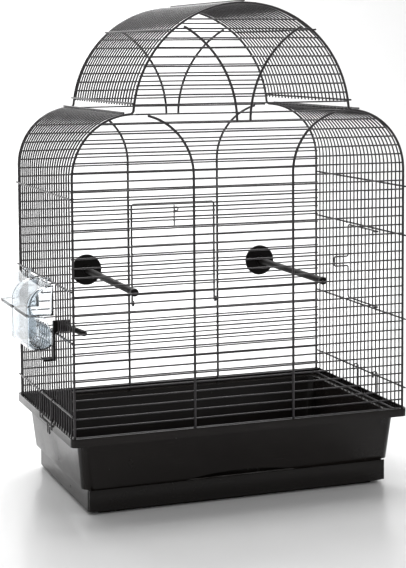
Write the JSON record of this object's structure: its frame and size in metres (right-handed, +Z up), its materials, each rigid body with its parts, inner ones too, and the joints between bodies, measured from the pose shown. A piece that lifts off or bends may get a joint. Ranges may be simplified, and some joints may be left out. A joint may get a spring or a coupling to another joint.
{
  "type": "bird cage",
  "caption": "Black wire bird cage with arched shoulders and a round dome, on a plastic base with a pull-out drawer, with perches, wire doors and a clear outside feeder.",
  "frame": {"origin": "middle of the underside of the base, on the surface that it stands on", "axes": "+Z up, +X to the cage's right as seen from the drawer front, -Y towards the drawer front"},
  "size_m": [0.5519, 0.318, 0.7126],
  "materials": {
    "wire": "satin",
    "base_plastic": "gloss",
    "drawer_plastic": "gloss",
    "black_plastic": "satin",
    "clear_plastic": "gloss"
  },
  "bodies": {
    "base": {"base": "base_plastic"},
    "drawer": {"drawer": "drawer_plastic"},
    "cage": {"front_panel": "wire", "back_panel": "wire", "left_panel": "wire", "right_panel": "wire", "roof_panel": "wire", "left_perch": "black_plastic", "right_perch": "black_plastic", "perch_caps": "black_plastic", "feeder_bracket": "black_plastic", "feeder_perch": "black_plastic"},
    "main_door": {"main_door": "wire"},
    "door_latch": {"door_latch": "wire"},
    "side_door": {"side_door": "wire"},
    "left_clip": {"left_clip": "wire"},
    "right_clip": {"right_clip": "wire"},
    "left_perch_nut": {"left_perch_nut": "black_plastic"},
    "right_perch_nut": {"right_perch_nut": "black_plastic"},
    "feeder_hood": {"feeder_hood": "clear_plastic", "hood_hooks": "clear_plastic"},
    "feeder_trough": {"feeder_trough": "clear_plastic"}
  },
  "joints": [
    {"name": "drawer_slide", "type": "slide", "parent": "base", "child": "drawer", "axis": [0, -1, 0], "range_m": [0, 0.22]},
    {"name": "cage_lift", "type": "slide", "parent": "base", "child": "cage", "axis": [0, 0, 1], "range_m": [0, 0.12]},
    {"name": "main_door_hinge", "type": "hinge", "parent": "cage", "child": "main_door", "pos_m": [0, 0.15035, 0.243], "axis": [-1, 0, 0], "range_deg": [0, 150]},
    {"name": "latch_slide", "type": "slide", "parent": "main_door", "child": "door_latch", "axis": [0, 0, 1], "range_m": [0, 0.006]},
    {"name": "side_door_hinge", "type": "hinge", "parent": "cage", "child": "side_door", "pos_m": [0.251, -0.06375, 0.308], "axis": [0, 0, -1], "range_deg": [0, 120]},
    {"name": "left_clip_hinge", "type": "hinge", "parent": "cage", "child": "left_clip", "pos_m": [-0.25325, -0.023, 0.144], "axis": [0, 1, 0], "range_deg": [0, 100]},
    {"name": "right_clip_hinge", "type": "hinge", "parent": "cage", "child": "right_clip", "pos_m": [0.25325, -0.023, 0.144], "axis": [0, -1, 0], "range_deg": [0, 100]},
    {"name": "left_nut_turn", "type": "hinge", "parent": "cage", "child": "left_perch_nut", "pos_m": [-0.146, 0.155, 0.3015], "axis": [0, 1, 0], "continuous": true},
    {"name": "right_nut_turn", "type": "hinge", "parent": "cage", "child": "right_perch_nut", "pos_m": [0.146, 0.155, 0.3015], "axis": [0, 1, 0], "continuous": true},
    {"name": "hood_hinge", "type": "hinge", "parent": "cage", "child": "feeder_hood", "pos_m": [-0.25325, 0.0196, 0.316], "axis": [0, 1, 0], "range_deg": [0, 75]},
    {"name": "trough_out", "type": "slide", "parent": "cage", "child": "feeder_trough", "axis": [-1, 0, 0], "range_m": [0, 0.05]}
  ]
}
